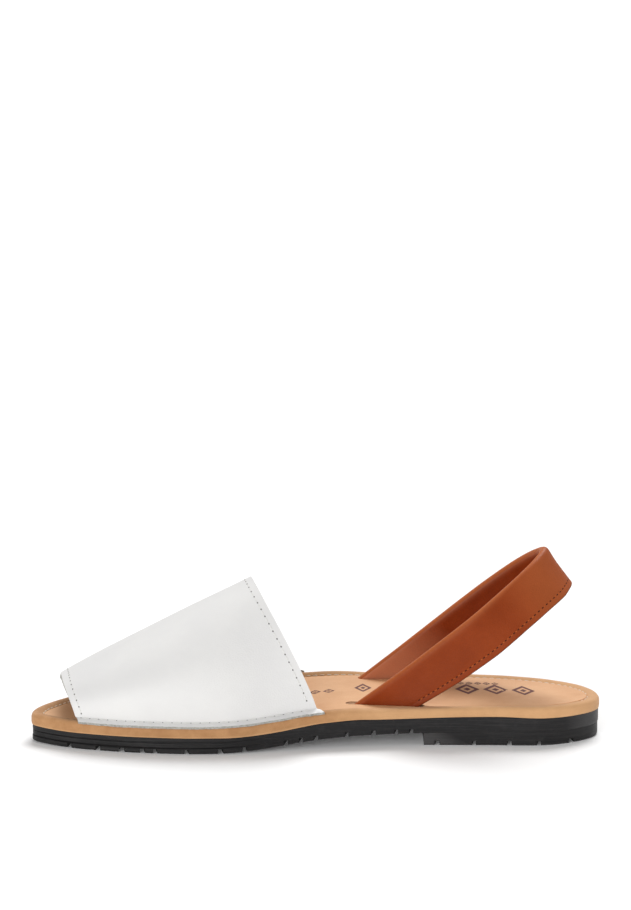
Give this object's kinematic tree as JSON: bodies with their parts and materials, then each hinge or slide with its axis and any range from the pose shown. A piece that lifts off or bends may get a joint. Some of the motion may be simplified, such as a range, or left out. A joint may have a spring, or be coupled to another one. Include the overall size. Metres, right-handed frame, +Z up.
{
  "type": "flat sandal",
  "caption": "Flat slingback sandal with a white leather vamp open at the toe, a tan leather footbed and strap, and a low black rubber sole.",
  "frame": {"origin": "centre of the whole sandal's box, on the ground plane that the sole stands on", "axes": "+X from the heel to the toe, +Y to the inner side of the foot, +Z up"},
  "size_m": [0.257, 0.0926, 0.084],
  "materials": {
    "sole_rubber": "matte black moulded rubber with fine lines along its side",
    "edging_nubuck": "soft tan nubuck, rolled over the edge of the footbed",
    "sock_leather": "smooth pinkish tan lining leather",
    "vamp_leather": "smooth white leather with a low sheen and raw cut edges",
    "strap_leather": "oiled red-brown leather, lighter along its rolled edge"
  },
  "bodies": {
    "root": {"outsole": "sole_rubber", "rand": "edging_nubuck", "insole": "sock_leather", "vamp": "vamp_leather", "sling_strap": "strap_leather"}
  },
  "joints": []
}
